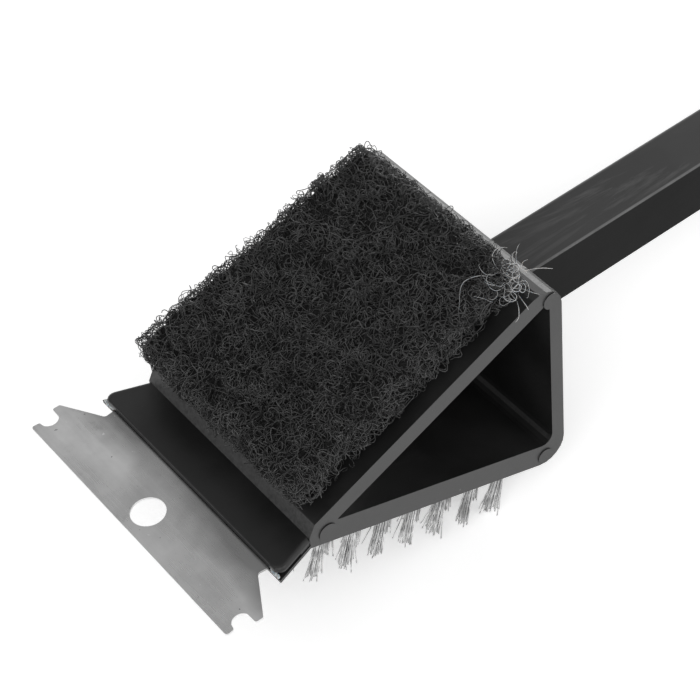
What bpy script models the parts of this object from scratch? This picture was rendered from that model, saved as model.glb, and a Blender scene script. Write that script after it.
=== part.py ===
"""Grill cleaning brush: a triangular moulded head with a scouring pad, wire tufts and a scraper.

Metres, +Z up. The head is drawn in a side view: a runs along the handle's axis, away from the
scraper, and b is square to it, with (0, 0) where the nose's underside meets the bristle wall.
Everything is parented to one empty, which tips the brush to where it rests: on the tips of its
rear row of tufts and on the heel of the handle.
"""

import math

import bmesh
import bpy
from mathutils import Matrix, Vector

MM = 0.001
GAP = 0.3 * MM                      # clearance between touching pieces

# Head: a triangular tube, open at both ends
HEAD_HALF_WIDTH = 38.0 * MM
PAD_WALL_ANGLE = math.radians(21.65)        # pad wall above the handle's axis
TUFT_WALL_ANGLE = math.radians(19.5)        # bristle wall below the handle's axis
BACK_WALL_A = 86.9 * MM                     # back wall's outer face where b is 0
BACK_WALL_LEAN = math.radians(2.0)
PAD_FACE_HEIGHT = 6.43 * MM                 # pad face above (0, 0), square to that face
PAD_WALL = 5.6 * MM
TUFT_WALL = 7.2 * MM
BACK_WALL = 4.2 * MM
OUTER_RADIUS = 7.0 * MM
INNER_RADIUS = 3.0 * MM
STEP_FOOT = (0.0, 3.9 * MM)                 # step between the nose and the pad face
STEP_TOP_A = 2.3 * MM
PIN_MARKS = ((5.8, 2.2, 2.83), (79.0, -24.6, 2.5), (84.3, 34.2, 2.6))   # a, b, radius in mm
PIN_MARK_HEIGHT = 0.35 * MM

# Nose: two layers with the scraper's slot between them, wider at the front
NOSE_LENGTH = 12.8 * MM
NOSE_FLARE = 0.365                          # sideways growth per length
NOSE_SKEW = 0.05                            # lean of the nose to -X, per length
NOSE_CORNER = 2.4 * MM
NOSE_FRONT_EDGE = 0.45 * MM
NOSE_ROOT_A = 2.5 * MM                      # how far its layers reach into the head
LOWER_LAYER = 1.0 * MM
SLOT_HEIGHT = 1.3 * MM
NOSE_THICKNESS = 3.9 * MM
SLOT_DEPTH = 9.1 * MM
PEG_RADIUS = 1.5 * MM
PEG_A = -8.2 * MM
PEG_XS = (-24.0 * MM, 0.0, 24.0 * MM)

# Scraper blade: (x, a) outline of one half, in millimetres, from the front edge to the tang
BLADE_THICKNESS = 0.7 * MM
BLADE_FRONT_A = -33.8
BLADE_HOLE_A = -26.15 * MM
BLADE_HOLE_RADIUS = 5.0 * MM
NOTCH_CENTRE = (47.0, -28.35)
NOTCH_RADIUS = 2.9
NOTCH_HALF_ANGLE = math.radians(61.0)
TANG_END_A = -4.5

# Scouring pad and the glue under it, on the pad face: the pad is cut slightly askew
PAD_CORNERS = ((34.2, 5.6), (33.7, 88.2), (-31.0, 89.2), (-39.4, 5.6))    # x, distance up, in mm
PAD_CORNER = 3.0 * MM
PAD_EDGE = 1.2 * MM
PAD_THICKNESS = 12.5 * MM
GLUE_THICKNESS = 0.4 * MM
GLUE_INSET = 4.5 * MM

# Wire tufts: columns along the head, each with its own rows
TUFT_ROWS = 7
TUFT_FIRST_ROW = 7.0 * MM
TUFT_ROW_PITCH = 10.65 * MM
TUFT_COLUMNS = (                            # column x, shift along the wall, rows
    (33.5 * MM, 0.0, 7),
    (26.8 * MM, -2.5 * MM, 7),
    (16.1 * MM, 0.0, 7),
    (5.4 * MM, 5.325 * MM, 6),
)
TUFT_ROOT_RADIUS = 1.6 * MM
TUFT_TIP_RADIUS = 2.3 * MM
TUFT_LENGTH = 16.0 * MM                     # below the bristle wall
TUFT_HOLE_DEPTH = 5.2 * MM
TUFT_SIDES = 8

# Handle: a square bar with a tenon in the head's socket
HANDLE_HALF_WIDTH = 8.9 * MM
HANDLE_TOP = 12.6 * MM
HANDLE_BOTTOM = -5.6 * MM
HANDLE_END_A = 372.0 * MM
HANDLE_END_RADIUS = 6.0 * MM
HANDLE_TOP_EDGE = 1.2 * MM
HANDLE_LOWER_EDGE = 2.1 * MM
TENON_HALF = 6.5 * MM
TENON_LENGTH = 20.0 * MM
SOCKET_WALL = 2.8 * MM
SOCKET_FLOOR = 2.0 * MM
HANG_HOLE_RADIUS = 5.0 * MM
HANG_HOLE_INSET = 13.0 * MM

BLACK_PLASTIC = ((0.022, 0.022, 0.023), 0.42, 0.0)
HANDLE_PLASTIC = ((0.026, 0.026, 0.027), 0.36, 0.0)
STEEL = ((0.62, 0.62, 0.61), 0.28, 1.0)
WIRE = ((0.50, 0.49, 0.48), 0.35, 1.0)
FIBRE = ((0.018, 0.018, 0.019), 0.85, 0.0)
GLUE = ((0.55, 0.54, 0.50), 0.35, 0.0)


def clear_scene():
    for item in list(bpy.data.objects):
        bpy.data.objects.remove(item, do_unlink=True)


def new_collection(name):
    group = bpy.data.collections.new(name)
    bpy.context.scene.collection.children.link(group)
    return group


def principled(name, look):
    color, roughness, metallic = look
    material = bpy.data.materials.new(name)
    material.use_nodes = True
    shader = material.node_tree.nodes["Principled BSDF"]
    shader.inputs["Base Color"].default_value = (*color, 1.0)
    shader.inputs["Roughness"].default_value = roughness
    shader.inputs["Metallic"].default_value = metallic
    return material


def cross(p, q):
    return p[0] * q[1] - p[1] * q[0]


def meet(p, p_angle, q, q_angle):
    """Point where the line through p at p_angle meets the line through q at q_angle."""
    d = (math.cos(p_angle), math.sin(p_angle))
    e = (math.cos(q_angle), math.sin(q_angle))
    along = cross((q[0] - p[0], q[1] - p[1]), e) / cross(d, e)
    return (p[0] + d[0] * along, p[1] + d[1] * along)


def rounded(corners, steps=6):
    """Outline from (x, y, radius) corners, each rounded by an arc of its radius."""
    points = []
    count = len(corners)
    for i, (x, y, radius) in enumerate(corners):
        corner = Vector((x, y))
        if radius == 0.0:
            points.append((x, y))
            continue
        to_last = (Vector(corners[i - 1][:2]) - corner).normalized()
        to_next = (Vector(corners[(i + 1) % count][:2]) - corner).normalized()
        half = to_last.angle(to_next) / 2.0
        centre = corner + (to_last + to_next).normalized() * radius / math.sin(half)
        start = corner + to_last * radius / math.tan(half) - centre
        turn = start.angle_signed(corner + to_next * radius / math.tan(half) - centre)
        for k in range(steps + 1):
            spoke = start.copy()
            spoke.rotate(Matrix.Rotation(-turn * k / steps, 2))
            points.append(tuple(centre + spoke))
    return points


def circle(x, y, radius, sides=24):
    turn = 2.0 * math.pi / sides
    return [(x + radius * math.cos(turn * k), y + radius * math.sin(turn * k))
            for k in range(sides)]


def plate(name, outlines, thickness, frame, group):
    """Flat plate: closed outlines in a plane, the later ones as holes, standing on frame's XY."""
    curve = bpy.data.curves.new(name + "_outline", "CURVE")
    curve.dimensions = "2D"
    curve.fill_mode = "BOTH"
    curve.extrude = thickness / 2.0
    for outline in outlines:
        spline = curve.splines.new("POLY")
        spline.points.add(len(outline) - 1)
        for point, (x, y) in zip(spline.points, outline):
            point.co = (x, y, 0.0, 1.0)
        spline.use_cyclic_u = True
    drawn = bpy.data.objects.new(name + "_drawn", curve)
    group.objects.link(drawn)
    mesh = bpy.data.meshes.new_from_object(drawn.evaluated_get(bpy.context.evaluated_depsgraph_get()))
    bpy.data.objects.remove(drawn, do_unlink=True)
    bpy.data.curves.remove(curve)
    mesh.name = name
    mesh.transform(Matrix.Translation((0.0, 0.0, thickness / 2.0)))
    mesh.transform(frame)
    tidy = bmesh.new()
    tidy.from_mesh(mesh)
    bmesh.ops.remove_doubles(tidy, verts=tidy.verts, dist=1e-6)
    bmesh.ops.recalc_face_normals(tidy, faces=tidy.faces)
    tidy.to_mesh(mesh)
    tidy.free()
    mesh.materials.clear()
    solid = bpy.data.objects.new(name, mesh)
    group.objects.link(solid)
    return solid


def side_view(x_start):
    """Frame whose X, Y and Z are the a, b and x directions, starting at x_start."""
    return Matrix(((0, 0, 1, x_start), (1, 0, 0, 0), (0, 1, 0, 0), (0, 0, 0, 1)))


def plan_view(b_start):
    """Frame whose X, Y and Z are the x, a and b directions, starting at height b_start."""
    return Matrix.Translation((0.0, 0.0, b_start))


def wall_frame(angle, height=0.0):
    """Frame at (0, 0) with Y along a wall that leans by angle and Z square to it."""
    return Matrix.Rotation(angle, 4, "X") @ Matrix.Translation((0.0, 0.0, height))


def box(name, low, high, group):
    mesh = bpy.data.meshes.new(name)
    builder = bmesh.new()
    bmesh.ops.create_cube(builder, size=1.0)
    size = Vector(high) - Vector(low)
    middle = (Vector(high) + Vector(low)) / 2.0
    bmesh.ops.transform(builder, matrix=Matrix.Translation(middle) @ Matrix.Diagonal((*size, 1.0)),
                        verts=builder.verts)
    builder.to_mesh(mesh)
    builder.free()
    solid = bpy.data.objects.new(name, mesh)
    group.objects.link(solid)
    return solid


def loft(name, rings, group):
    """Closed solid through rings of points, all with the same number of points."""
    builder = bmesh.new()
    levels = [[builder.verts.new(point) for point in ring] for ring in rings]
    count = len(rings[0])
    for lower, upper in zip(levels, levels[1:]):
        for i in range(count):
            j = (i + 1) % count
            builder.faces.new((lower[i], lower[j], upper[j], upper[i]))
    builder.faces.new(levels[0])
    builder.faces.new(levels[-1])
    bmesh.ops.triangulate(builder, faces=builder.faces)
    bmesh.ops.recalc_face_normals(builder, faces=builder.faces)
    mesh = bpy.data.meshes.new(name)
    builder.to_mesh(mesh)
    builder.free()
    solid = bpy.data.objects.new(name, mesh)
    group.objects.link(solid)
    return solid


def combine(target, tool, operation):
    modifier = target.modifiers.new(tool.name, "BOOLEAN")
    modifier.operation = operation
    modifier.solver = "EXACT"
    modifier.object = tool
    tool.hide_render = True
    tool.display_type = "WIRE"
    tool.parent = target


def soften(target, width, segments=2, weighted=False):
    modifier = target.modifiers.new("edges", "BEVEL")
    modifier.width = width
    modifier.segments = segments
    modifier.limit_method = "WEIGHT" if weighted else "ANGLE"
    modifier.use_clamp_overlap = True


def finish(solid, material, pose, smooth=True):
    solid.data.materials.append(material)
    if smooth:
        solid.data.shade_smooth()
        solid.data.set_sharp_from_angle(angle=math.radians(35.0))
    solid.parent = pose


def back_wall_a(b, inset=0.0):
    return BACK_WALL_A - inset + b * math.tan(BACK_WALL_LEAN)


def pad_face(s, n=0.0):
    """Side-view point s up the pad face from (0, 0) and n above the face."""
    height = PAD_FACE_HEIGHT + n
    return (s * math.cos(PAD_WALL_ANGLE) - height * math.sin(PAD_WALL_ANGLE),
            s * math.sin(PAD_WALL_ANGLE) + height * math.cos(PAD_WALL_ANGLE))


def head_outlines():
    back_angle = math.pi / 2.0 - BACK_WALL_LEAN
    outer_back = (back_wall_a(0.0), 0.0)
    heel = meet((0.0, 0.0), -TUFT_WALL_ANGLE, outer_back, back_angle)
    ridge = meet(pad_face(0.0), PAD_WALL_ANGLE, outer_back, back_angle)
    face_start = pad_face(0.0)
    step_top_b = face_start[1] + (STEP_TOP_A - face_start[0]) * math.tan(PAD_WALL_ANGLE)
    outer = rounded((
        (0.0, 0.0, 0.0),
        (*heel, OUTER_RADIUS),
        (*ridge, OUTER_RADIUS),
        (STEP_TOP_A, step_top_b, 0.6 * MM),
        (*STEP_FOOT, 0.0),
    ))
    under_pad = pad_face(0.0, -PAD_WALL)
    over_tufts = (TUFT_WALL * math.sin(TUFT_WALL_ANGLE), TUFT_WALL * math.cos(TUFT_WALL_ANGLE))
    inner_back = (back_wall_a(0.0, BACK_WALL), 0.0)
    front = meet(under_pad, PAD_WALL_ANGLE, over_tufts, -TUFT_WALL_ANGLE)
    low = meet(over_tufts, -TUFT_WALL_ANGLE, inner_back, back_angle)
    high = meet(under_pad, PAD_WALL_ANGLE, inner_back, back_angle)
    inner = rounded(((*front, 0.3 * MM), (*low, INNER_RADIUS), (*high, 1.5 * MM)), steps=4)
    return outer, inner


def nose_side(depth, side):
    """X of the nose's side at a depth in front of the head; side is 1 or -1."""
    return side * (HEAD_HALF_WIDTH + NOSE_FLARE * depth) - NOSE_SKEW * depth


def nose_outline(corner_radius, side_inset=0.0, front_inset=0.0):
    """Plan of the nose, from NOSE_ROOT_A inside the head to the front edge."""
    length = NOSE_LENGTH - front_inset
    right, left = ([(side * (HEAD_HALF_WIDTH - 1.0 * MM - side_inset), NOSE_ROOT_A, 0.0),
                    (side * (HEAD_HALF_WIDTH - side_inset), 0.0, 0.0),
                    (nose_side(length, side) - side * side_inset, -length, corner_radius)]
                   for side in (1, -1))
    return rounded(right + left[::-1])


def upper_nose_layer(tools):
    """The nose's upper layer: its ends are quarter rounds, its front edge is only softened."""
    start = LOWER_LAYER + SLOT_HEIGHT
    radius = NOSE_THICKNESS - start
    rings = []
    for k in range(6):
        angle = math.pi / 2.0 * k / 5.0
        height = start + radius * math.sin(angle)
        into_edge = max(0.0, height - NOSE_THICKNESS + NOSE_FRONT_EDGE)
        front_inset = NOSE_FRONT_EDGE - math.sqrt(NOSE_FRONT_EDGE ** 2 - into_edge ** 2)
        outline = nose_outline(NOSE_CORNER, radius * (1.0 - math.cos(angle)), front_inset)
        rings.append([(x, a, height) for x, a in outline])
    return loft("nose_upper_layer", rings, tools)


def nose_layers(tools):
    lower = plate("nose_lower_layer", [nose_outline(0.0)], LOWER_LAYER, plan_view(0.0), tools)
    slot_floor = NOSE_LENGTH - SLOT_DEPTH
    right, left = ([(side * (HEAD_HALF_WIDTH - 1.3 * MM), NOSE_ROOT_A - 0.3 * MM),
                    (side * (HEAD_HALF_WIDTH - 0.3 * MM), 0.0),
                    (nose_side(slot_floor, side) - side * 0.3 * MM, -slot_floor)]
                   for side in (1, -1))
    web = plate("nose_web", [right + left[::-1]], SLOT_HEIGHT + 0.8 * MM,
                plan_view(LOWER_LAYER - 0.4 * MM), tools)
    return [lower, upper_nose_layer(tools), web]


def slot_pegs(tools):
    for i, x in enumerate(PEG_XS):
        yield plate(f"slot_peg_{i + 1}", [circle(x, PEG_A, PEG_RADIUS, 12)],
                    SLOT_HEIGHT + 0.8 * MM, plan_view(LOWER_LAYER - 0.4 * MM), tools)


def pin_marks(tools):
    for i, (a, b, radius) in enumerate(PIN_MARKS):
        mark = plate(f"pin_mark_{i + 1}", [circle(a * MM, b * MM, radius * MM)],
                     PIN_MARK_HEIGHT + MM, side_view(HEAD_HALF_WIDTH - MM), tools)
        yield mark


def tenon_box(name, grow, a_start, a_end, tools):
    middle = (HANDLE_TOP + HANDLE_BOTTOM) / 2.0
    half = TENON_HALF + grow
    return box(name, (-half, a_start, middle - half), (half, a_end, middle + half), tools)


def tuft_places():
    """(column, row, x, distance along the bristle wall) of every tuft, left to right."""
    columns = []
    for x, shift, rows in TUFT_COLUMNS:
        columns.append((-x, shift, rows))
        columns.append((x, shift, rows))
    for column, (x, shift, rows) in enumerate(sorted(columns)):
        for row in range(rows):
            yield column + 1, row + 1, x, TUFT_FIRST_ROW + shift + TUFT_ROW_PITCH * row


def tuft_holes(tools):
    mesh = bpy.data.meshes.new("tuft_holes")
    builder = bmesh.new()
    frame = wall_frame(-TUFT_WALL_ANGLE)
    below = 2.0 * MM
    middle = (TUFT_HOLE_DEPTH - below) / 2.0
    radius = TUFT_ROOT_RADIUS + GAP
    for column, row, x, along in tuft_places():
        bmesh.ops.create_cone(builder, cap_ends=True, segments=TUFT_SIDES + 2, radius1=radius,
                              radius2=radius, depth=TUFT_HOLE_DEPTH + below,
                              matrix=frame @ Matrix.Translation((x, along, middle)))
    builder.to_mesh(mesh)
    builder.free()
    holes = bpy.data.objects.new("tuft_holes", mesh)
    tools.objects.link(holes)
    return holes


def make_head(parts, tools, material, pose):
    outer, inner = head_outlines()
    head = plate("head_body", [outer, inner], 2.0 * HEAD_HALF_WIDTH, side_view(-HEAD_HALF_WIDTH),
                 parts)
    for layer in nose_layers(tools):
        combine(head, layer, "UNION")
    for peg in slot_pegs(tools):
        combine(head, peg, "UNION")
    for mark in pin_marks(tools):
        combine(head, mark, "UNION")
    socket_front = BACK_WALL_A - TENON_LENGTH
    boss = tenon_box("socket_boss", GAP + SOCKET_WALL, socket_front - GAP - SOCKET_FLOOR,
                     BACK_WALL_A - BACK_WALL / 2.0, tools)
    combine(head, boss, "UNION")
    socket = tenon_box("socket_hole", GAP, socket_front - GAP, BACK_WALL_A + 5.0 * MM, tools)
    combine(head, socket, "DIFFERENCE")
    combine(head, tuft_holes(tools), "DIFFERENCE")
    finish(head, material, pose)


def handle_outlines():
    foot = back_wall_a(HANDLE_BOTTOM) + GAP
    top = back_wall_a(HANDLE_TOP) + GAP
    outer = rounded((
        (foot, HANDLE_BOTTOM, 0.0),
        (HANDLE_END_A, HANDLE_BOTTOM, HANDLE_END_RADIUS),
        (HANDLE_END_A, HANDLE_TOP, HANDLE_END_RADIUS),
        (top, HANDLE_TOP, 0.0),
    ))
    middle = (HANDLE_TOP + HANDLE_BOTTOM) / 2.0
    return outer, circle(HANDLE_END_A - HANG_HOLE_INSET, middle, HANG_HOLE_RADIUS, 20)


def weigh_edges(solid, wanted):
    """Give the Bevel weight 1 to the edges that wanted(middle, direction) picks."""
    weights = solid.data.attributes.new("bevel_weight_edge", "FLOAT", "EDGE")
    for edge in solid.data.edges:
        start, end = (solid.data.vertices[v].co for v in edge.vertices)
        weights.data[edge.index].value = float(wanted((start + end) / 2.0, end - start))


def make_handle(parts, tools, material, pose):
    outer, hole = handle_outlines()
    handle = plate("handle", [outer, hole], 2.0 * HANDLE_HALF_WIDTH,
                   side_view(-HANDLE_HALF_WIDTH), parts)

    def lower_long_edge(middle, direction):
        at_side = abs(abs(middle.x) - HANDLE_HALF_WIDTH) < 0.1 * MM
        low = middle.z < HANDLE_BOTTOM + 0.1 * MM
        return at_side and low and abs(direction.y) > 20.0 * MM

    weigh_edges(handle, lower_long_edge)
    soften(handle, HANDLE_LOWER_EDGE, segments=3, weighted=True)
    soften(handle, HANDLE_TOP_EDGE)
    tenon = tenon_box("handle_tenon", 0.0, BACK_WALL_A - TENON_LENGTH, BACK_WALL_A + 5.0 * MM, tools)
    combine(handle, tenon, "UNION")
    finish(handle, material, pose)


def blade_half():
    """Right half of the blade's outline, front to back, in millimetres."""
    x, a = NOTCH_CENTRE
    notch = []
    steps = 10
    for k in range(steps + 1):
        angle = math.pi + NOTCH_HALF_ANGLE * (1.0 - 2.0 * k / steps)
        notch.append((x + NOTCH_RADIUS * math.cos(angle), a + NOTCH_RADIUS * math.sin(angle)))
    front = rounded(((0.0, BLADE_FRONT_A, 0.0), (47.6, BLADE_FRONT_A, 0.8), (47.3, -31.2, 0.6),
                     notch[0] + (0.0,)), steps=3)[1:-1]
    rear = rounded((notch[-1] + (0.0,), (49.3, -25.7, 0.6), (49.2, -23.3, 0.4), (38.6, -17.2, 1.5),
                    (36.6, -16.1, 1.2), (36.9, -13.4, 0.5), (36.8, TANG_END_A, 1.0),
                    (0.0, TANG_END_A, 0.0)), steps=3)[1:-1]
    return front + notch + rear


def make_blade(parts, material, pose):
    right = [(x * MM, a * MM) for x, a in blade_half()]
    left = [(-x, a) for x, a in reversed(right)]
    holes = [circle(0.0, BLADE_HOLE_A, BLADE_HOLE_RADIUS, 32)]
    for x in PEG_XS:
        holes.append(circle(x, PEG_A, PEG_RADIUS + GAP, 16))
    blade = plate("scraper_blade", [right + left] + holes, BLADE_THICKNESS,
                  plan_view(LOWER_LAYER + GAP), parts)
    finish(blade, material, pose, smooth=False)


def pad_outline(inset, radius):
    """The pad's outline on the pad face, moved in by inset on every side."""
    middle = (PAD_CORNERS[0][1] + PAD_CORNERS[1][1]) / 2.0
    corners = []
    for x, along in PAD_CORNERS:
        corners.append((x * MM - math.copysign(inset, x),
                        along * MM - math.copysign(inset, along - middle), radius))
    return rounded(corners, steps=4)


def on_pad_face(height):
    return wall_frame(PAD_WALL_ANGLE, PAD_FACE_HEIGHT + height)


def make_glue(parts, material, pose):
    glue = plate("pad_adhesive", [pad_outline(GLUE_INSET, 2.0 * PAD_CORNER)], GLUE_THICKNESS,
                 on_pad_face(GAP), parts)
    finish(glue, material, pose)


def make_pad(parts, material, pose):
    pad = plate("scouring_pad", [pad_outline(0.0, PAD_CORNER)], PAD_THICKNESS,
                on_pad_face(GLUE_THICKNESS + 2.0 * GAP), parts)
    soften(pad, PAD_EDGE)
    finish(pad, material, pose)


def tuft_mesh(tools):
    """One tuft as a turned solid: its root in the hole, its wires spreading to the tip."""
    top = TUFT_HOLE_DEPTH - GAP
    profile = ((0.0, top), (TUFT_ROOT_RADIUS, top), (TUFT_ROOT_RADIUS, -1.0 * MM),
               (TUFT_TIP_RADIUS, -TUFT_LENGTH), (0.0, -TUFT_LENGTH))
    mesh = bpy.data.meshes.new("tuft_profile")
    mesh.from_pydata([(0.0, r, z) for r, z in profile], [(i, i + 1) for i in range(4)], [])
    turned = bpy.data.objects.new("tuft_profile", mesh)
    tools.objects.link(turned)
    screw = turned.modifiers.new("turn", "SCREW")
    screw.steps = TUFT_SIDES
    screw.render_steps = TUFT_SIDES
    screw.use_merge_vertices = True
    screw.merge_threshold = 0.00001
    screw.use_normal_calculate = True
    result = bpy.data.meshes.new_from_object(
        turned.evaluated_get(bpy.context.evaluated_depsgraph_get()))
    bpy.data.objects.remove(turned, do_unlink=True)
    solid = bmesh.new()
    solid.from_mesh(result)
    bmesh.ops.remove_doubles(solid, verts=solid.verts, dist=1e-6)
    bmesh.ops.recalc_face_normals(solid, faces=solid.faces)
    solid.to_mesh(result)
    solid.free()
    result.name = "wire_tuft"
    return result


def make_tufts(parts, tools, material, pose):
    mesh = tuft_mesh(tools)
    mesh.materials.append(material)
    mesh.shade_smooth()
    mesh.set_sharp_from_angle(angle=math.radians(50.0))
    for column, row, x, along in tuft_places():
        tuft = bpy.data.objects.new(f"wire_tuft_c{column}_r{row}", mesh)
        parts.objects.link(tuft)
        tuft.parent = pose
        tuft.location = wall_frame(-TUFT_WALL_ANGLE) @ Vector((x, along, 0.0))
        tuft.rotation_euler = (-TUFT_WALL_ANGLE, 0.0, 0.0)


def resting_tilt():
    """Angle by which the handle slopes down from the head to its heel at rest."""
    last_row = TUFT_FIRST_ROW + TUFT_ROW_PITCH * (TUFT_ROWS - 1) + TUFT_TIP_RADIUS
    tip = wall_frame(-TUFT_WALL_ANGLE) @ Vector((0.0, last_row, -TUFT_LENGTH))
    tilt = 0.0
    for _ in range(5):
        heel_a = HANDLE_END_A + HANDLE_END_RADIUS * (math.sin(tilt) - 1.0)
        heel_b = HANDLE_BOTTOM + HANDLE_END_RADIUS * (1.0 - math.cos(tilt))
        tilt = math.atan2(heel_b - tip.z, heel_a - tip.y)
    return tilt


def world_bounds(objects):
    depsgraph = bpy.context.evaluated_depsgraph_get()
    points = []
    for item in objects:
        evaluated = item.evaluated_get(depsgraph)
        points += [evaluated.matrix_world @ v.co for v in evaluated.data.vertices]
    low = Vector(min(p[i] for p in points) for i in range(3))
    high = Vector(max(p[i] for p in points) for i in range(3))
    return low, high


def main():
    clear_scene()
    parts = new_collection("grill_cleaning_brush")
    tools = new_collection("cutters")
    pose = bpy.data.objects.new("resting_pose", None)
    parts.objects.link(pose)
    make_head(parts, tools, principled("black_plastic", BLACK_PLASTIC), pose)
    make_handle(parts, tools, principled("handle_plastic", HANDLE_PLASTIC), pose)
    make_blade(parts, principled("blade_steel", STEEL), pose)
    make_glue(parts, principled("glue", GLUE), pose)
    make_pad(parts, principled("pad_fibre", FIBRE), pose)
    make_tufts(parts, tools, principled("bristle_wire", WIRE), pose)
    pose.rotation_euler = (-resting_tilt(), 0.0, 0.0)
    bpy.context.view_layer.update()
    low, high = world_bounds([item for item in parts.objects if item.type == "MESH"])
    pose.location = (0.0, -(low.y + high.y) / 2.0, -low.z)
    bpy.context.view_layer.update()


main()
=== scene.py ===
"""Grill cleaning brush: materials, wire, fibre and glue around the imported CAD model."""

import math

import bmesh
import bpy
import numpy as np
from mathutils import Matrix, Vector, noise


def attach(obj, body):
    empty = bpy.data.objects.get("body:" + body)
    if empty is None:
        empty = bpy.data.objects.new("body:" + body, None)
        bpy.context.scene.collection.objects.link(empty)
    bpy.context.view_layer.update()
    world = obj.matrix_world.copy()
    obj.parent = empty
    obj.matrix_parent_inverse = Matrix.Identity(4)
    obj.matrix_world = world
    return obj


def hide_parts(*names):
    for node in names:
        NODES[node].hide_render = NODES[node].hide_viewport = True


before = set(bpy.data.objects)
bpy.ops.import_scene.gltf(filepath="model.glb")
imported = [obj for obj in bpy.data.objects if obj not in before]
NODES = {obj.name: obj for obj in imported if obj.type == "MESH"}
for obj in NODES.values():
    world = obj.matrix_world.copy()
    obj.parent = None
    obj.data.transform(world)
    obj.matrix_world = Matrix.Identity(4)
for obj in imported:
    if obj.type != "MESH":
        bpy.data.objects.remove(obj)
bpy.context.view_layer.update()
MM = 0.001

# Camera, in the head's frame: x across the brush, y along the handle's axis, z square to it
CAMERA_AT = (386.5 * MM, -188.4 * MM, 487.7 * MM)
CAMERA_LOOKS = (-0.59152, 0.35507, -0.72390)
CAMERA_ROLL = math.radians(-8.54)
CAMERA_LENS = 122.7

# Where the CAD's blade lies in the head's frame
BLADE_FRONT = -33.8 * MM
BLADE_UNDERSIDE = 1.3 * MM

# Light: the sky's radiance, and the glow of the white sweep under the brush
SKY = 0.40
FLOOR_GLOW = 0.42
FLOOR_REACH = 6.0
FLOOR_DROP = 0.1 * MM                       # below the tufts' tips

# Softboxes: name, direction from the head in its own frame, distance, size, radiance
SOFTBOXES = (
    ("key", (0.55, -0.60, 0.75), 1.8, 1.3, 2.2),
    ("back_right", (0.70, 0.36, 0.60), 1.7, 0.9, 2.4),
    ("back_left", (-0.60, 0.80, 0.32), 1.5, 0.7, 6.5),
)
SOFTBOXES_FACE = (0.0, 40.0 * MM, 0.0)      # the point they are turned to, in the head's frame

# Painted sheen, highlight and shadow, and dust, placed in the head's frame; each pair is where it
# starts and where it is full
STEP_SHEEN_FACES = (0.0, -0.86, 0.50)             # the way the step by the nose faces, which gets a painted sheen
# painted highlight along the handle's upper edges: how far across, then how far up
HANDLE_HIGHLIGHT_ACROSS = (8.25 * MM, 8.55 * MM)
HANDLE_HIGHLIGHT_UP = (11.9 * MM, 12.2 * MM)
# painted shadow on the blade by the nose, and how far its edge wanders
BLADE_PAINTED_SHADOW = (-23.0 * MM, -14.5 * MM)
BLADE_PAINTED_SHADOW_WANDER = 22.0 * MM
DUST = 0.22                                 # grey of dust and grit

# Tubes: a direction that no path starts in, to turn their first ring from
ASKEW = (0.31, 0.52, 0.79)

# Wires of a tuft
WIRE_SEED = 11
WIRES = 44
WIRE_RADIUS = 0.18 * MM
WIRE_POINTS = 12
WIRE_SIDES = 5
WIRE_THICKNESS = (0.85, 1.1)                # least and most, as shares of the radius
WIRE_SPLAY = (0.70, 1.0)                    # the same for a wire's way out from the middle
WIRE_START = 0.12                           # share of a tuft, from its root, with no wire in it
WIRE_CUT = 1.9 * MM                         # how much shorter than its tuft a wire may be
CRIMP_PITCH = 3.4 * MM
CRIMP_DEPTH = 0.09 * MM
TUFT_ROOT_RADIUS = 1.25 * MM
TUFT_FLARE = 1.6                            # power by which a tuft widens towards its tip
TUFT_LEAN = 0.30 * MM
TIP_RING = 0.1 * MM                         # how near its end a point of the tip's ring lies
STRAY_ABOVE = 0.93                          # a wire or fibre whose draw is above this strays
STRAY_OUT = (0.3 * MM, 1.6 * MM)

# Scouring pad: a dark core inside a shell of curled fibres
PAD_WALL_ANGLE = math.radians(21.65)        # pad wall above the handle's axis
PAD_SHELL = 3.0 * MM
PAD_CORNER = 3.5 * MM
PAD_END = 4.5 * MM                          # band at each end that shows how wide the pad is
CORE_CUTS = 47
CORE_UNDER_TOP = 0.45                       # depth of the core, as a share of the shell
CORE_UNDER_SIDES = 0.55
CORE_TOP = 0.7                              # how far up the top's points face
CORE_LUMPS = ((4.0 * MM, 0.9 * MM, 1), (1.6 * MM, 0.5 * MM, 2))     # size, height, seed
CORE_FOOT = 2.0 * MM                        # height over which the lumps come in
FIBRE_SEED = 23
FIBRES = 5200
FIBRE_STEPS = 26
FIBRE_STEP = 0.62 * MM
FIBRE_RADIUS = 0.12 * MM
FIBRE_THICKNESS = (0.75, 1.25)              # least and most, as shares of the radius
FIBRE_SIDES = 3
FIBRE_PIECES = 4
FIBRE_CURL = (0.25, 0.85)                   # least and most bend, per millimetre
FIBRE_TIGHTNESS = (0.6, 1.0, 1.5)           # loose, middling and tight fibres
FIBRE_TWIST = 0.35                          # how fast the bend turns, per millimetre
FIBRE_WANDER = 0.10
FIBRE_PULL = 0.9                            # turn back towards the shell, at each step
FIBRE_LIFT = 1.5                            # turn up from the pad's underside, at each step
FIBRE_OUT = 0.2 * MM                        # how far out of the pad a fibre is left to go
FIBRE_DEEP = 0.8                            # how deep, as a share of the shell
FIBRE_LOW = 0.5 * MM                        # height over the underside where it is turned up
FIBRE_LOWEST = 0.15 * MM
START_OUT = 0.5 * MM                        # how far out of the pad a fibre may start
START_LOW = 0.3 * MM
SWELL = (6.0 * MM, 0.8 * MM, 5)             # size, height, seed of the swells in the pad's face
FRAY = 1.2 * MM                             # how much further a loose fibre may stand out

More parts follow.
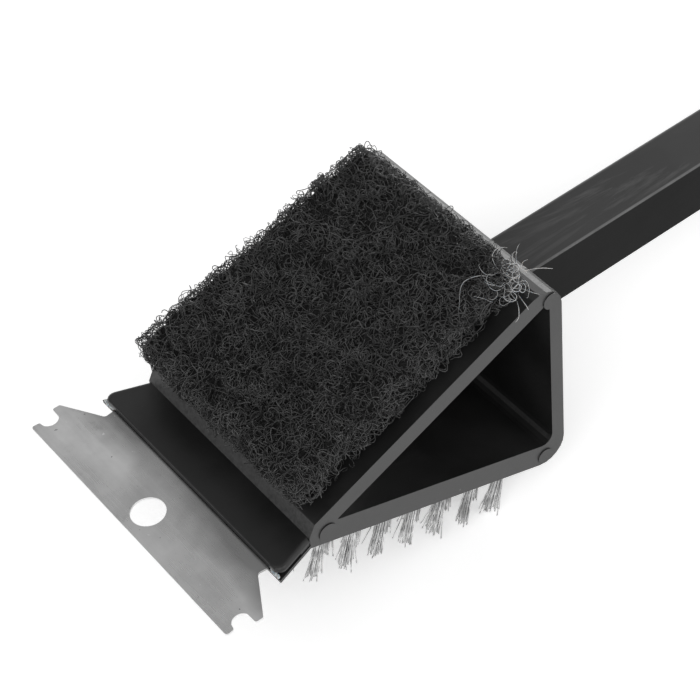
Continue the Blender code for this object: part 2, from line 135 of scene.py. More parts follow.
# Hot-melt glue, in millimetres: (across, up the pad face, out of it) from the head's origin
GLUE_SEED = 5
GLUE_POINTS = 24
GLUE_STEP = 0.42
GLUE_RADIUS = (0.05, 0.11)
GLUE_SIDES = 6
GLUE_CURLS = 34
GLUE_CURL = (0.25, 0.9)
GLUE_KNOT = (34.4, 84.8, 16.0)
GLUE_KNOT_SPREAD = (1.7, 2.8, 1.6)
GLUE_LOWEST = 6.75
GLUE_ROUTES = (
    ((30.0, 89.5, 8.5), (32.0, 92.0, 9.5), (34.5, 94.5, 9.6), (37.0, 96.6, 9.0)),
    ((28.0, 91.0, 8.0), (25.8, 93.0, 9.0), (24.4, 94.8, 9.2), (23.8, 96.2, 9.0)),
    ((29.5, 91.0, 8.2), (29.0, 92.8, 9.4), (29.8, 94.2, 9.8)),
    ((34.5, 85.5, 8.5), (36.8, 85.0, 8.6), (38.6, 84.6, 7.6), (39.2, 84.3, 6.9)),
    ((36.0, 83.9, 9.0), (38.0, 82.6, 8.6), (39.0, 81.0, 7.4), (39.0, 79.6, 6.9)),
    ((32.6, 87.4, 7.4), (34.6, 88.0, 7.0), (36.6, 88.7, 6.9), (38.2, 89.4, 6.8)),
    ((33.6, 83.9, 16.0), (31.0, 81.8, 20.5), (28.4, 78.5, 20.9), (28.5, 75.6, 20.9),
     (32.3, 71.2, 20.4)),
    ((33.0, 75.9, 20.3), (34.2, 77.5, 18.0), (34.4, 78.8, 14.0)),
)

# Beads of glue at the ends of the nose's slot, in millimetres of the head's frame
SLOT_BEADS = ((37.6, 41.4), (-37.7, -42.4))
BEAD_ALONG = -12.55
BEAD_UP = 1.65
BEAD_RADIUS = 0.52
BEAD_SIDES = 10


def unit(v):
    """Vectors of the same directions, one long."""
    return v / np.linalg.norm(v, axis=-1, keepdims=True)


def vertices(name):
    """A CAD node's points, as an array."""
    mesh = NODES[name].data
    flat = np.empty(len(mesh.vertices) * 3)
    mesh.vertices.foreach_get("co", flat)
    return flat.reshape(-1, 3)


def head_frame():
    """Matrix from the head's frame to the CAD's, read off the flat blade."""
    points = vertices("scraper_blade")
    middle = points.mean(0)
    normal = np.linalg.svd(points - middle)[2][2]
    normal = normal * np.sign(normal[2])
    across = np.array((1.0, 0.0, 0.0))
    along = unit(np.cross(normal, across))
    front = ((points - middle) @ along).min()
    underside = ((points - middle) @ normal).min()
    origin = (along * front + normal * underside + middle - across * middle[0]
              - along * BLADE_FRONT - normal * BLADE_UNDERSIDE)
    turned = np.eye(4)
    turned[:3, 0], turned[:3, 1], turned[:3, 2], turned[:3, 3] = across, along, normal, origin
    return Matrix(turned.tolist())


HEAD = head_frame()


def to_world(points):
    """Points from the head's frame to the CAD's."""
    turned = np.array(HEAD)
    return points @ turned[:3, :3].T + turned[:3, 3]


# ---------------------------------------------------------------- node materials


class Graph:
    """A material's node tree, with short calls for the nodes used here."""

    def __init__(self, name):
        self.material = bpy.data.materials.new(name)
        self.material.use_nodes = True
        self.tree = self.material.node_tree
        self.shader = self.tree.nodes["Principled BSDF"]
        self.coord = self.tree.nodes.new("ShaderNodeTexCoord").outputs["Object"]

    def node(self, kind, inputs=(), **settings):
        made = self.tree.nodes.new("ShaderNode" + kind)
        for key, value in settings.items():
            setattr(made, key, value)
        for key, value in dict(inputs).items():
            self.feed(made.inputs[key], value)
        return made

    def feed(self, socket, value):
        if isinstance(value, bpy.types.NodeSocket):
            self.tree.links.new(value, socket)
        else:
            socket.default_value = value

    def noise(self, scale, detail=2.0, roughness=0.5, vector=None, distortion=0.0):
        """Noise from 0 to 1, with about scale lumps to the metre."""
        return self.node("TexNoise", {"Vector": vector or self.coord, "Scale": scale,
                                      "Detail": detail, "Roughness": roughness,
                                      "Distortion": distortion}).outputs["Fac"]

    def stretched(self, scale, angles=(0.0, 0.0, 0.0)):
        """Coordinates in which noise is drawn out along an axis whose scale is below 1."""
        return self.node("Mapping", {"Vector": self.coord, "Scale": scale,
                                     "Rotation": angles}).outputs["Vector"]

    def ramp(self, value, low, high, out_low=0.0, out_high=1.0):
        """A value's rise from low to high, as one from out_low to out_high."""
        return self.node("MapRange", {"Value": value, "From Min": low, "From Max": high,
                                      "To Min": out_low, "To Max": out_high}).outputs["Result"]

    def math(self, operation, a, b=0.0):
        made = self.tree.nodes.new("ShaderNodeMath")
        made.operation = operation
        self.feed(made.inputs[0], a)
        self.feed(made.inputs[1], b)
        return made.outputs[0]

    def mix(self, factor, a, b):
        made = self.tree.nodes.new("ShaderNodeMix")
        made.data_type = "RGBA"
        self.feed(made.inputs["Factor"], factor)
        self.feed(made.inputs["A"], a)
        self.feed(made.inputs["B"], b)
        return made.outputs["Result"]

    def shade(self, value, low, high, grey_low, grey_high):
        """A grey that goes from one level to another as a value rises from low to high."""
        return self.mix(self.ramp(value, low, high), grey(grey_low), grey(grey_high))

    def tint(self, base, mask, amount, level):
        """A grey laid over the base colour by a share of a mask."""
        return self.mix(self.math("MULTIPLY", mask, amount), base, grey(level))

    def facing_either(self, x, a, b, low, high):
        """The greater of facing a direction and facing its mirror image across the brush."""
        return self.math("MAXIMUM", self.facing(head_direction(x, a, b), low, high),
                         self.facing(head_direction(-x, a, b), low, high))

    def bump(self, height, strength, distance, normal=None):
        inputs = {"Height": height, "Strength": strength, "Distance": distance}
        if normal is not None:
            inputs["Normal"] = normal
        return self.node("Bump", inputs).outputs["Normal"]

    def facing(self, direction, low, high):
        """1 where the surface's normal points along direction, 0 where it doesn't."""
        normal = self.node("NewGeometry").outputs["Normal"]
        dot = self.node("VectorMath", {0: normal, 1: direction}, operation="DOT_PRODUCT")
        return self.ramp(dot.outputs["Value"], low, high)

    def place(self, x, a, b):
        """How far a point lies along a direction of the head's frame, from the head's origin."""
        way = head_direction(x, a, b)
        along = self.node("VectorMath", {0: self.coord, 1: way}, operation="DOT_PRODUCT")
        return self.math("SUBTRACT", along.outputs["Value"], HEAD.translation.dot(Vector(way)))

    def set(self, **values):
        names = {"colour": "Base Color", "roughness": "Roughness", "normal": "Normal",
                 "metallic": "Metallic", "specular": "Specular IOR Level",
                 "subsurface": "Subsurface Weight"}
        for key, value in values.items():
            self.feed(self.shader.inputs[names[key]], value)
        return self.material


def grey(level):
    return (level, level, level, 1.0)


def head_direction(x, a, b):
    return tuple(HEAD.to_3x3() @ Vector((x, a, b)))


def moulded_plastic(name, dark, light, roughness, painted_end_sheen):
    """Black moulded plastic: cloudy gloss, fine grain, dust, scuffs, a painted sheen that makes the
    end faces paler, and a painted sheen in speckles on the step by the nose.
    """
    g = Graph(name)
    clouds = g.noise(55.0, 3.0, 0.55)
    fine = g.noise(1400.0, 2.0, 0.6)
    base = g.shade(clouds, 0.35, 0.7, dark, light)
    # painted sheen: faces turned to either end of the brush are coloured paler
    ends = g.facing_either(1.0, 0.0, 0.0, 0.93, 0.99)
    base = g.tint(base, ends, painted_end_sheen, 0.058)
    # painted sheen on the step by the nose, laid on in speckles
    band = g.facing(head_direction(*STEP_SHEEN_FACES), 0.96, 0.995)
    speckle = g.ramp(g.noise(900.0, 3.0, 0.7), 0.30, 0.72, 0.35, 1.0)
    base = g.tint(base, band, speckle, 0.085)
    dust = g.ramp(g.noise(620.0, 3.0, 0.7), 0.735, 0.78)
    base = g.tint(base, dust, 0.55, DUST)
    scuffs = g.noise(24.0, 5.0, 0.72, g.stretched((1.0, 0.22, 1.0), (0.0, 0.0, 0.5)))
    base = g.tint(base, g.ramp(scuffs, 0.60, 0.72), 0.12, 0.14)
    rough = g.math("ADD", g.ramp(clouds, 0.3, 0.75, roughness - 0.05, roughness + 0.07),
                   g.ramp(fine, 0.3, 0.7, -0.03, 0.03))
    normal = g.bump(fine, 0.10, 0.12 * MM)
    normal = g.bump(g.noise(160.0, 2.0, 0.5), 0.08, 0.6 * MM, normal)
    return g.set(colour=base, roughness=rough, normal=normal, specular=0.5)


def handle_plastic(name):
    """The handle's plastic: top faces painted lit and all other faces painted shaded, smears on
    top, a painted highlight along the upper edges, painted light from the floor on the lower edges,
    dust, and fine scratches along it.
    """
    g = Graph(name)
    clouds = g.noise(30.0, 3.0, 0.6)
    # painted light and shade: top faces get a lit grey, all other faces a shaded near-black
    up = g.facing(head_direction(0.0, 0.0, 1.0), 0.5, 0.97)
    base = g.mix(up, g.shade(clouds, 0.35, 0.7, 0.003, 0.006),
                 g.shade(clouds, 0.35, 0.7, 0.042, 0.053))
    smears = g.noise(38.0, 6.0, 0.75, g.stretched((1.0, 0.16, 1.0), (0.0, 0.0, 0.25)), 0.8)
    smeared = g.math("MULTIPLY", g.ramp(smears, 0.50, 0.64), 0.45)
    base = g.tint(base, smeared, up, 0.16)
    # painted highlight along the handle's upper edges, of uneven strength
    across = g.math("ABSOLUTE", g.place(1.0, 0.0, 0.0))
    painted_edge_highlight = g.math("MULTIPLY", g.ramp(across, *HANDLE_HIGHLIGHT_ACROSS),
                        g.ramp(g.place(0.0, 0.0, 1.0), *HANDLE_HIGHLIGHT_UP))
    highlight_breakup = g.ramp(g.noise(90.0, 4.0, 0.6), 0.25, 0.65, 0.40, 0.75)
    base = g.tint(base, painted_edge_highlight, highlight_breakup, 0.20)
    # painted light from the floor: the lower edges are coloured paler
    painted_floor_light = g.facing_either(0.70, 0.0, -0.72, 0.75, 0.95)
    base = g.tint(base, painted_floor_light, 0.70, 0.06)
    dust = g.ramp(g.noise(640.0, 3.0, 0.7), 0.74, 0.785)
    base = g.tint(base, dust, 0.5, DUST)
    fine = g.noise(1500.0, 2.0, 0.6)
    rough = g.math("ADD", g.ramp(smears, 0.35, 0.75, 0.33, 0.46),
                   g.ramp(fine, 0.3, 0.7, -0.02, 0.02))
    scratches = g.noise(420.0, 2.0, 0.6, g.stretched((1.0, 0.03, 1.0)))
    normal = g.bump(scratches, 0.05, 0.15 * MM)
    normal = g.bump(fine, 0.08, 0.1 * MM, normal)
    return g.set(colour=base, roughness=rough, normal=normal, specular=0.08)


def sheet_steel(name):
    """Rolled sheet: cloudy gloss, faint lines across it, a painted shadow by the nose, stains,
    specks and pits.
    """
    g = Graph(name)
    lines = g.noise(900.0, 3.0, 0.65, g.stretched((0.05, 1.0, 1.0)))
    clouds = g.noise(45.0, 4.0, 0.6)
    base = g.shade(clouds, 0.33, 0.68, 0.66, 0.90)
    base = g.tint(base, g.ramp(lines, 0.4, 0.62), 0.15, 0.92)
    # painted shadow: the blade darkens towards the nose, along a wandering edge
    wander = g.math("MULTIPLY", g.math("SUBTRACT", g.noise(30.0, 3.0, 0.6), 0.5),
                    BLADE_PAINTED_SHADOW_WANDER)
    painted_nose_shadow = g.ramp(g.math("ADD", g.place(0.0, 1.0, 0.0), wander), *BLADE_PAINTED_SHADOW)
    base = g.tint(base, painted_nose_shadow, 0.75, 0.24)
    flecks = g.ramp(g.noise(520.0, 2.0, 0.6), 0.735, 0.76)
    base = g.tint(base, flecks, 0.9, 0.98)
    stains = g.ramp(g.noise(150.0, 5.0, 0.7), 0.63, 0.72)
    base = g.tint(base, stains, 0.25, 0.36)
    pits = g.ramp(g.noise(800.0, 2.0, 0.6), 0.73, 0.77)
    base = g.tint(base, pits, 0.7, 0.12)
    rough = g.math("ADD", g.ramp(clouds, 0.3, 0.7, 0.22, 0.34),
                   g.ramp(lines, 0.35, 0.65, -0.03, 0.04))
    normal = g.bump(lines, 0.04, 0.08 * MM)
    return g.set(colour=base, roughness=rough, normal=normal, metallic=1.0)


def wire_steel(name):
    """Drawn wire: bright, with dull lengths where it has tarnished."""
    g = Graph(name)
    dull = g.noise(260.0, 3.0, 0.6)
    base = g.shade(dull, 0.38, 0.65, 0.70, 0.40)
    rough = g.ramp(dull, 0.35, 0.7, 0.22, 0.42)
    normal = g.bump(g.noise(3500.0, 2.0, 0.5), 0.12, 0.03 * MM)
    return g.set(colour=base, roughness=rough, normal=normal, metallic=1.0)


def nylon_fibre(name, dark, light):
    """Black fibre with grit bonded to it: glossy, with dull patches and pale grains."""
    g = Graph(name)
    base = g.shade(g.noise(140.0, 3.0, 0.6), 0.35, 0.7, dark, light)
    grit = g.ramp(g.noise(2600.0, 2.0, 0.6), 0.58, 0.68)
    base = g.tint(base, grit, 0.5, DUST)
    rough = g.ramp(g.noise(900.0, 2.0, 0.5), 0.35, 0.65, 0.30, 0.55)
    normal = g.bump(g.noise(2400.0, 3.0, 0.6), 0.45, 0.08 * MM)
    return g.set(colour=base, roughness=rough, normal=normal, specular=0.5)


def matted_core(name):
    """The pad's unlit depth, a felted mass of the same fibre."""
    g = Graph(name)
    tangle = g.node("TexVoronoi", {"Vector": g.coord, "Scale": 650.0},
                    feature="DISTANCE_TO_EDGE").outputs["Distance"]
    clumps = g.noise(260.0, 4.0, 0.65, None, 1.2)
    base = g.shade(clumps, 0.35, 0.7, 0.004, 0.016)
    base = g.mix(g.ramp(tangle, 0.0, 0.10, 0.5, 0.0), base, grey(0.035))
    height = g.math("SUBTRACT", clumps, g.ramp(tangle, 0.0, 0.25, 0.0, 0.4))
    return g.set(colour=base, roughness=0.85, normal=g.bump(height, 0.9, MM), specular=0.25)


def hot_melt(name):
    """Clear glue that has gone cloudy, with dust in it."""
    g = Graph(name)
    cloudy = g.noise(500.0, 3.0, 0.6)
    base = g.shade(cloudy, 0.35, 0.7, 0.30, 0.55)
    dust = g.ramp(g.noise(1500.0, 2.0, 0.6), 0.66, 0.72)
    base = g.tint(base, dust, 0.6, 0.10)
    rough = g.ramp(cloudy, 0.35, 0.7, 0.18, 0.35)
    normal = g.bump(g.noise(1200.0, 2.0, 0.5), 0.25, 0.1 * MM)
    return g.set(colour=base, roughness=rough, normal=normal, specular=0.5, subsurface=0.2)


def paint(name, material):
    """Gives a CAD node its finish."""
    node = NODES[name]
    for slot in node.material_slots:
        slot.material = material
    if not node.material_slots:
        node.data.materials.append(material)


# ---------------------------------------------------------------- pieces


def new_piece(name, points, faces, material):
    """A smooth-shaded piece that rides the brush."""
    mesh = bpy.data.meshes.new(name)
    mesh.from_pydata(np.asarray(points).tolist(), [], faces)
    mesh.materials.append(material)
    mesh.shade_smooth()
    piece = bpy.data.objects.new(name, mesh)
    bpy.context.scene.collection.objects.link(piece)
    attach(piece, "root")
    return piece


def tubes(paths, radii, sides):
    """Closed round tubes along paths (count, points, 3), all in one set of points and faces."""
    count, length, _ = paths.shape
    tangents = np.empty_like(paths)
    tangents[:, 1:-1] = paths[:, 2:] - paths[:, :-2]
    tangents[:, 0] = paths[:, 1] - paths[:, 0]
    tangents[:, -1] = paths[:, -1] - paths[:, -2]
    tangents = unit(tangents)
    side = np.cross(tangents[:, 0], np.array(ASKEW))
    sideways = np.empty_like(paths)
    for k in range(length):
        side = unit(side - (side * tangents[:, k]).sum(1, keepdims=True) * tangents[:, k])
        sideways[:, k] = side
    upward = np.cross(tangents, sideways)
    angles = np.arange(sides) * 2.0 * math.pi / sides
    radii = np.broadcast_to(np.asarray(radii, float).reshape(-1, 1) if np.ndim(radii) == 1
                            else radii, (count, length))
    ring = (sideways[:, :, None] * np.cos(angles)[:, None] + upward[:, :, None]
            * np.sin(angles)[:, None]) * radii[:, :, None, None]
    points = (paths[:, :, None] + ring).reshape(-1, 3)
    start = (np.arange(count)[:, None, None] * length + np.arange(length - 1)[:, None]) * sides
    here = start + np.arange(sides)
    after = start + (np.arange(sides) + 1) % sides
    quads = np.stack((here, after, after + sides, here + sides), -1).reshape(-1, 4)
    first = np.arange(count)[:, None] * length * sides + np.arange(sides)[::-1]
    last = np.arange(count)[:, None] * length * sides + (length - 1) * sides + np.arange(sides)
    return points, quads.tolist() + first.tolist() + last.tolist()


def tuft_line(name):
    """(root, tip, radius at the tip) of a tuft's CAD solid."""
    points = vertices(name)
    middle = points.mean(0)
    axis = np.linalg.svd(points - middle)[2][0]
    axis = axis * -np.sign(axis[2])
    along = (points - middle) @ axis
    tip_ring = points[along > along.max() - TIP_RING]
    tip = tip_ring.mean(0)
    radius = np.linalg.norm(tip_ring - tip, axis=1).max()
    return tip - axis * (along.max() - along.min()), tip, radius


def tuft_wires(name, rng):
    """Paths of one tuft's crimped wires, from inside its hole to their uneven tips."""
    root, tip, tip_radius = tuft_line(name)
    axis = unit(tip - root)
    length = np.linalg.norm(tip - root)
    u = unit(np.cross(axis, (0.0, 1.0, 0.3)))
    v = np.cross(axis, u)
    angle = rng.uniform(0.0, 2.0 * math.pi, WIRES)
    share = np.sqrt(rng.uniform(0.0, 1.0, WIRES))
    out = u * np.cos(angle)[:, None] + v * np.sin(angle)[:, None]
    splay = tip_radius * share * rng.uniform(*WIRE_SPLAY, WIRES)
    stray = rng.uniform(0.0, 1.0, WIRES) > STRAY_ABOVE
    splay = np.where(stray, tip_radius + rng.uniform(*STRAY_OUT, WIRES), splay)
    ends = length - rng.uniform(0.0, 1.0, WIRES) ** 2 * WIRE_CUT
    t = np.linspace(0.0, 1.0, WIRE_POINTS)
    down = (WIRE_START + (1.0 - WIRE_START) * t)[None, :] * ends[:, None]
    flare = t ** TUFT_FLARE
    spread = TUFT_ROOT_RADIUS * share[:, None] * (1.0 - flare) + splay[:, None] * flare
    paths = root + axis * down[:, :, None] + out[:, None] * spread[:, :, None]
    lean = rng.normal(0.0, TUFT_LEAN, 2)
    paths += (u * lean[0] + v * lean[1]) * (t ** 2)[None, :, None]
    phase = rng.uniform(0.0, 2.0 * math.pi, WIRES)[:, None]
    crimp_dir = rng.uniform(0.0, 2.0 * math.pi, WIRES)
    sideways = u * np.cos(crimp_dir)[:, None] + v * np.sin(crimp_dir)[:, None]
    wave = np.sin(down / CRIMP_PITCH * 2.0 * math.pi + phase) * CRIMP_DEPTH
    return paths + sideways[:, None] * wave[:, :, None] * np.minimum(1.0, 3.0 * t)[None, :, None]


def make_tufts(material):
    """One piece of crimped wires for each column of tufts."""
    rng = np.random.default_rng(WIRE_SEED)
    names = sorted(n for n in NODES if n.startswith("wire_tuft_"))
    columns = sorted({n.split("_")[2] for n in names})
    for column in columns:
        members = [n for n in names if n.split("_")[2] == column]
        paths = np.concatenate([tuft_wires(n, rng) for n in members])
        radii = WIRE_RADIUS * rng.uniform(*WIRE_THICKNESS, len(paths))
        points, faces = tubes(paths, radii, WIRE_SIDES)
        piece = new_piece(f"wires_{column}", points, faces, material)
        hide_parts(*members)


def pad_face():
    """Rows, in the head's frame: across the pad, up its face, and square to it."""
    return np.array(((1.0, 0.0, 0.0),
                     (0.0, math.cos(PAD_WALL_ANGLE), math.sin(PAD_WALL_ANGLE)),
                     (0.0, -math.sin(PAD_WALL_ANGLE), math.cos(PAD_WALL_ANGLE))))


def pad_axes():
    """The pad's rows in the CAD's frame."""
    return pad_face() @ np.array(HEAD)[:3, :3].T


def pad_planes(local):
    """Three pairs of (way out, distance) planes that hold the pad: sides, ends, top and bottom."""
    low, high = local.min(0), local.max(0)
    pairs = []
    for way in (1.0, -1.0):
        ends = [local[np.abs(local[:, 1] - y) < PAD_END] * way for y in (low[1], high[1])]
        reach = [end[:, 0].max() for end in ends]
        lean = (reach[1] - reach[0]) / (high[1] - low[1])
        normal = unit(np.array((way, -lean, 0.0)))
        pairs.append((normal, (local @ normal).max()))
    sides = [tuple(pairs)]
    for axis in (1, 2):
        outward = np.eye(3)[axis]
        sides.append(((outward, high[axis]), (-outward, -low[axis])))
    return sides


def slab_depth(local, planes, corner):
    """Signed distance to the pad with rounded corners, and the way out of it."""
    q = np.empty((len(local), 3))
    ways = np.empty((len(local), 3, 3))
    for axis, ((normal_a, reach_a), (normal_b, reach_b)) in enumerate(planes):
        beyond_a = local @ normal_a - reach_a
        beyond_b = local @ normal_b - reach_b
        q[:, axis] = np.maximum(beyond_a, beyond_b) + corner
        ways[:, axis] = np.where((beyond_a > beyond_b)[:, None], normal_a, normal_b)
    outside = np.maximum(q, 0.0)
    reach = np.linalg.norm(outside, axis=1)
    depth = reach + np.minimum(q.max(1), 0.0) - corner
    nearest = np.eye(3)[np.argmax(q, axis=1)]
    share = np.where((reach > 1e-9)[:, None], outside / np.maximum(reach, 1e-9)[:, None], nearest)
    return depth, (ways * share[:, :, None]).sum(1)


def lumps(local, scale, seed):
    """Smooth noise at each point, about -1 to 1."""
    offset = Vector((seed * 3.7, seed * 1.3, seed * 2.1))
    return np.array([noise.noise(Vector(p) / scale + offset) for p in local])


def pad_core(axes, low, high, planes, material):
    """The pad's dark inside: a lumpy form just under the shell of fibres."""
    builder = bmesh.new()
    bmesh.ops.create_cube(builder, size=2.0)
    bmesh.ops.subdivide_edges(builder, edges=builder.edges, cuts=CORE_CUTS,
                              use_grid_fill=True)
    grid = np.array([v.co for v in builder.verts])
    faces = [[v.index for v in face.verts] for face in builder.faces]
    builder.free()
    local = (low + high) / 2.0 + grid * (high - low) / 2.0
    for _ in range(3):
        depth, way = slab_depth(local, planes, PAD_CORNER)
        sunk = PAD_SHELL * np.where(way[:, 2] > CORE_TOP, CORE_UNDER_TOP, CORE_UNDER_SIDES)
        local = local - way * np.maximum(depth + sunk, 0.0)[:, None]
    local[:, 2] = np.maximum(local[:, 2], low[2])
    bulge = sum(lumps(local, size, seed) * height for size, height, seed in CORE_LUMPS)
    above = np.clip((local[:, 2] - low[2]) / CORE_FOOT, 0.0, 1.0)
    _, way = slab_depth(local, planes, PAD_CORNER)
    local = local + way * (bulge * above)[:, None]
    core = new_piece("pad_core", local @ axes, faces, material)
    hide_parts("scouring_pad")


def fibre_starts(count, low, high, planes, rng):
    """Points in the pad's outer shell, above its underside."""
    start = np.empty((0, 3))
    while len(start) < count:
        tries = rng.uniform(low - MM, high + MM, (count * 3, 3))
        depth, way = slab_depth(tries, planes, PAD_CORNER)
        keep = (depth < START_OUT) & (depth > -PAD_SHELL) & (tries[:, 2] > low[2] + START_LOW)
        start = np.concatenate((start, tries[keep & (way[:, 2] > -0.5)]))
    return start[:count]


def fibre_paths(count, low, high, planes, rng):
    """Curled random walks that stay in the pad's outer shell, in the pad's frame."""
    here = fibre_starts(count, low, high, planes, rng)
    size, height, seed = SWELL
    loose = rng.uniform(0.0, 1.0, count) > STRAY_ABOVE
    swell = lumps(here, size, seed) * height + FRAY * loose
    heading = unit(rng.normal(0.0, 1.0, (count, 3)))
    _, way = slab_depth(here, planes, PAD_CORNER)
    heading = unit(heading - way * (heading * way).sum(1, keepdims=True) * 0.6)
    bend = unit(np.cross(heading, rng.normal(0.0, 1.0, (count, 3))))
    curl = rng.uniform(*FIBRE_CURL, count) * rng.choice(FIBRE_TIGHTNESS, count) / MM
    twist = rng.normal(0.0, FIBRE_TWIST, count) / MM
    paths = np.empty((count, FIBRE_STEPS, 3))
    for k in range(FIBRE_STEPS):
        paths[:, k] = here
        depth, way = slab_depth(here, planes, PAD_CORNER)
        out = np.maximum(depth - FIBRE_OUT - swell, 0.0) / MM
        deep = np.maximum(-PAD_SHELL * FIBRE_DEEP - depth, 0.0) / MM
        floor = np.maximum(low[2] + FIBRE_LOW - here[:, 2], 0.0) / MM
        heading = heading + bend * (curl * FIBRE_STEP)[:, None]
        heading = heading - way * np.minimum(out, 1.0)[:, None] * FIBRE_PULL
        heading = heading + way * np.minimum(deep, 1.0)[:, None] * FIBRE_PULL
        heading[:, 2] += np.minimum(floor, 1.0) * FIBRE_LIFT
        heading = unit(heading + rng.normal(0.0, FIBRE_WANDER, (count, 3)))
        bend = bend - heading * (bend * heading).sum(1, keepdims=True)
        bend = unit(bend + np.cross(heading, bend) * (twist * FIBRE_STEP)[:, None])
        here = here + heading * FIBRE_STEP
        here[:, 2] = np.maximum(here[:, 2], low[2] + FIBRE_LOWEST)
    return paths


def make_pad(fibre, core_material):
    """The pad's core, and its fibres in pieces that share them out across the pad."""
    axes = pad_axes()
    local = vertices("scouring_pad") @ axes.T
    low, high = local.min(0), local.max(0)
    planes = pad_planes(local)
    pad_core(axes, low, high, planes, core_material)
    rng = np.random.default_rng(FIBRE_SEED)
    paths = fibre_paths(FIBRES, low, high, planes, rng)
    radii = FIBRE_RADIUS * rng.uniform(*FIBRE_THICKNESS, len(paths))
    order = np.argsort(paths[:, 0, 0])
    for i, share in enumerate(np.array_split(order, FIBRE_PIECES)):
        points, faces = tubes(paths[share] @ axes, radii[share], FIBRE_SIDES)
        piece = new_piece(f"pad_fibres_{i + 1}", points, faces, fibre)


def smooth_route(route, count):
    """Catmull-Rom curve through a route's points."""
    points = np.asarray(route, float)
    points = np.concatenate((2.0 * points[:1] - points[1:2], points,
                             2.0 * points[-1:] - points[-2:-1]))
    at = np.linspace(0.0, len(route) - 1.0001, count)
    i = at.astype(int)
    t = (at - i)[:, None]
    p0, p1, p2, p3 = points[i], points[i + 1], points[i + 2], points[i + 3]
    return 0.5 * (2.0 * p1 + (p2 - p0) * t + (2.0 * p0 - 5.0 * p1 + 4.0 * p2 - p3) * t ** 2
                  + (3.0 * p1 - p0 - 3.0 * p2 + p3) * t ** 3)


def glue_knot(rng):
    """Tangled strings round the knot, as random curls, in pad-face millimetres."""
    paths = []
    for _ in range(GLUE_CURLS):
        centre = np.array(GLUE_KNOT) + rng.normal(0.0, 1.0, 3) * GLUE_KNOT_SPREAD
        heading = unit(rng.normal(0.0, 1.0, 3))
        bend = unit(np.cross(heading, rng.normal(0.0, 1.0, 3)))
        curl = rng.uniform(*GLUE_CURL)
        path = [centre]
        for _ in range(GLUE_POINTS - 1):
            heading = unit(heading + bend * curl * GLUE_STEP + rng.normal(0.0, 0.10, 3))
            bend = unit(bend - heading * (bend @ heading) + rng.normal(0.0, 0.12, 3))
            path.append(path[-1] + heading * GLUE_STEP)
        paths.append(path)
    return paths


def swelling(margin, power):
    """Thickness along a string of glue: thin at its ends and full in between."""
    return np.sin(np.linspace(margin, math.pi - margin, GLUE_POINTS)) ** power


def slot_beads():
    """Paths and radii of the beads in the ends of the nose's slot."""
    share = np.linspace(0.0, 1.0, GLUE_POINTS)
    x = np.array([start + (end - start) * share for start, end in SLOT_BEADS])
    paths = np.stack((x, BEAD_ALONG + 0.10 * np.sin(x * 5.0), BEAD_UP + 0.05 * np.sin(x * 7.0)), -1)
    radii = (BEAD_RADIUS + 0.10 * np.sin(x * 4.0)) * swelling(0.25, 0.4)
    return paths * MM, radii * MM


def make_glue(material):
    """Strings of glue at the near corner of the ridge, and beads at the ends of the slot."""
    rng = np.random.default_rng(GLUE_SEED)
    routes = [smooth_route(route, GLUE_POINTS) for route in GLUE_ROUTES]
    paths = np.array(glue_knot(rng) + [route.tolist() for route in routes])
    paths[:, :, 2] = np.maximum(paths[:, :, 2], GLUE_LOWEST)
    radii = rng.uniform(*GLUE_RADIUS, len(paths))[:, None] * MM * swelling(0.15, 0.5)
    points, faces = tubes(to_world(paths @ pad_face() * MM), radii, GLUE_SIDES)
    new_piece("glue_strings", points, faces, material)
    paths, radii = slot_beads()
    points, faces = tubes(to_world(paths), radii, BEAD_SIDES)
    new_piece("slot_glue", points, faces, material)


def make_floor():
    """The white sweep that the brush lies on, with a glow of its own."""
    mesh = bpy.data.meshes.new("floor")
    corners = [(x * FLOOR_REACH, y * FLOOR_REACH, 0.0)
               for x, y in ((-1, -1), (1, -1), (1, 1), (-1, 1))]
    mesh.from_pydata(corners, [], [(0, 1, 2, 3)])
    g = Graph("pale_floor")
    base = g.mix(g.noise(3.0, 2.0), grey(0.90), grey(0.92))
    g.shader.inputs["Emission Color"].default_value = grey(1.0)
    g.shader.inputs["Emission Strength"].default_value = FLOOR_GLOW
    mesh.materials.append(g.set(colour=base, roughness=0.7, specular=0.2))
    floor = bpy.data.objects.new("floor", mesh)
    floor.location.z = -FLOOR_DROP
    bpy.context.scene.collection.objects.link(floor)


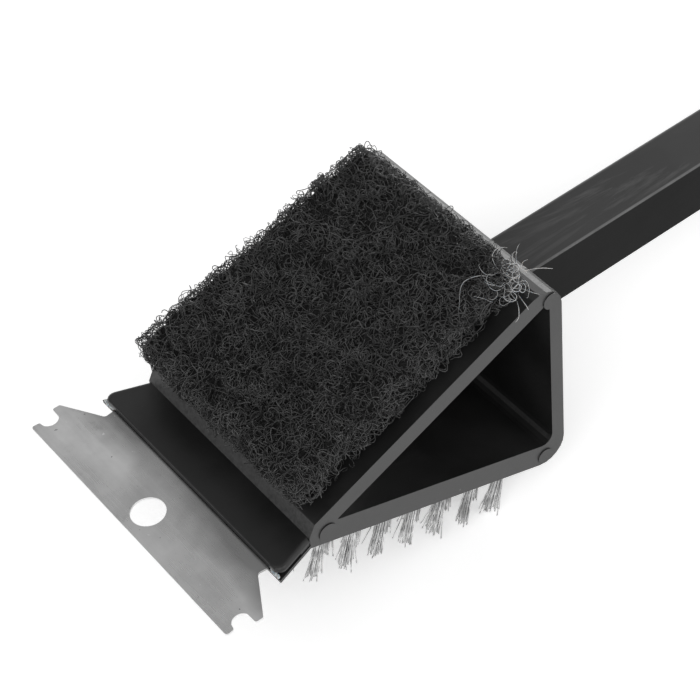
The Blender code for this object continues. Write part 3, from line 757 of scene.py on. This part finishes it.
def make_camera():
    """The camera, placed in the head's frame and rolled about the way it looks."""
    looks = Vector(CAMERA_LOOKS).normalized()
    right = looks.cross(Vector((0.0, 0.0, 1.0))).normalized()
    up = right.cross(looks)
    turned = Matrix.Identity(3)
    turned.col[0] = right * math.cos(CAMERA_ROLL) + up * math.sin(CAMERA_ROLL)
    turned.col[1] = up * math.cos(CAMERA_ROLL) - right * math.sin(CAMERA_ROLL)
    turned.col[2] = -looks
    data = bpy.data.cameras.new("camera")
    data.sensor_width = 36.0
    data.sensor_fit = "HORIZONTAL"
    data.lens = CAMERA_LENS
    data.clip_start = 0.01
    data.clip_end = 50.0
    camera = bpy.data.objects.new("camera", data)
    camera.matrix_world = HEAD @ (Matrix.Translation(CAMERA_AT) @ turned.to_4x4())
    bpy.context.scene.collection.objects.link(camera)
    bpy.context.scene.camera = camera


def softbox(name, direction, distance, size, radiance):
    """Square softbox that faces the head from a direction in the head's frame."""
    data = bpy.data.lights.new(name, "AREA")
    data.shape = "SQUARE"
    data.size = size
    data.energy = radiance * math.pi * size * size
    light = bpy.data.objects.new(name, data)
    target = HEAD @ Vector(SOFTBOXES_FACE)
    towards = Vector(head_direction(*direction)).normalized()
    light.location = target + towards * distance
    light.rotation_euler = towards.to_track_quat("Z", "Y").to_euler()
    bpy.context.scene.collection.objects.link(light)


def make_studio():
    """An even sky and the softboxes."""
    scene = bpy.context.scene
    scene.view_settings.view_transform = "Standard"
    world = bpy.data.worlds.new("studio")
    world.use_nodes = True
    world.node_tree.nodes["Background"].inputs["Color"].default_value = grey(1.0)
    world.node_tree.nodes["Background"].inputs["Strength"].default_value = SKY
    scene.world = world
    for box in SOFTBOXES:
        softbox(*box)


def main():
    make_camera()
    make_studio()
    make_floor()
    paint("head_body", moulded_plastic("head_plastic", dark=0.008, light=0.014,
                                       roughness=0.40, painted_end_sheen=0.5))
    paint("handle", handle_plastic("handle_plastic"))
    paint("scraper_blade", sheet_steel("blade_steel"))
    glue = hot_melt("hot_melt")
    paint("pad_adhesive", glue)
    make_tufts(wire_steel("wire_steel"))
    make_pad(nylon_fibre("nylon_fibre", dark=0.022, light=0.085), matted_core("matted_core"))
    make_glue(glue)


main()
